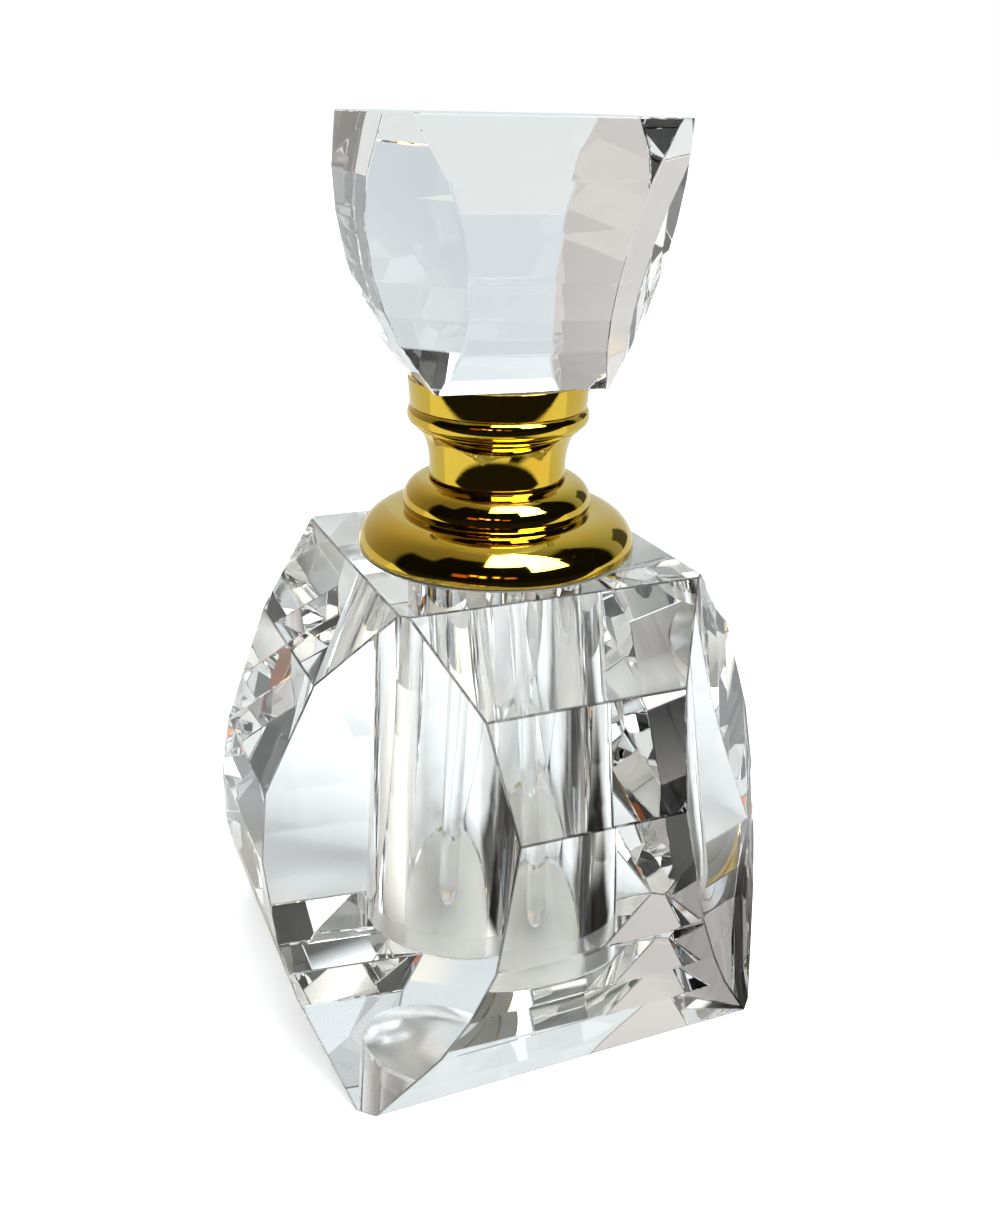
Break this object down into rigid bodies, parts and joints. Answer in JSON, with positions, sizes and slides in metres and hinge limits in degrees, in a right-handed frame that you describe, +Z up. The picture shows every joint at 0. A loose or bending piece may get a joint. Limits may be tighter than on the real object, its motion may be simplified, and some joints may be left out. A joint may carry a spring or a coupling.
{
  "type": "perfume bottle",
  "caption": "Faceted crystal perfume bottle with a gilt collar and a screw cap whose crystal stopper carries a glass dabber rod.",
  "frame": {"origin": "centre of the flat base, on the surface it stands on", "axes": "+Z up along the bore and the dabber; the four ground sides of the bottle are square to X and Y, and -Y is the front"},
  "size_m": [0.062, 0.0616, 0.1],
  "materials": {
    "crystal": "polished cut crystal, the bore's floor ground",
    "rod_glass": "fire-polished glass rod",
    "gilt_metal": "polished gold plating",
    "neck_plastic": "moulded natural plastic",
    "liner_plastic": "moulded white plastic",
    "plug_plastic": "soft moulded plastic",
    "gasket_rubber": "cut sheet",
    "adhesive": "cured clear adhesive"
  },
  "bodies": {
    "bottle": {"crystal_body": "crystal", "neck_gasket": "gasket_rubber", "collar_glue": "adhesive", "neck_insert": "neck_plastic", "collar": "gilt_metal"},
    "washer": {"seal_washer": "gasket_rubber"},
    "cap": {"cap_liner": "liner_plastic", "cap_skirt": "gilt_metal", "stopper_cup": "gilt_metal", "dabber_plug": "plug_plastic", "stopper_glue": "adhesive", "dabber_rod": "rod_glass", "stopper_crystal": "crystal"}
  },
  "joints": [
    {"name": "cap_lift", "type": "slide", "parent": "bottle", "child": "washer", "axis": [0, 0, 1], "range_m": [0, 0.066]},
    {"name": "cap_turn", "type": "hinge", "parent": "washer", "child": "cap", "pos_m": [0, 0, 0.07], "axis": [0, 0, 1], "range_deg": [0, 540]}
  ]
}
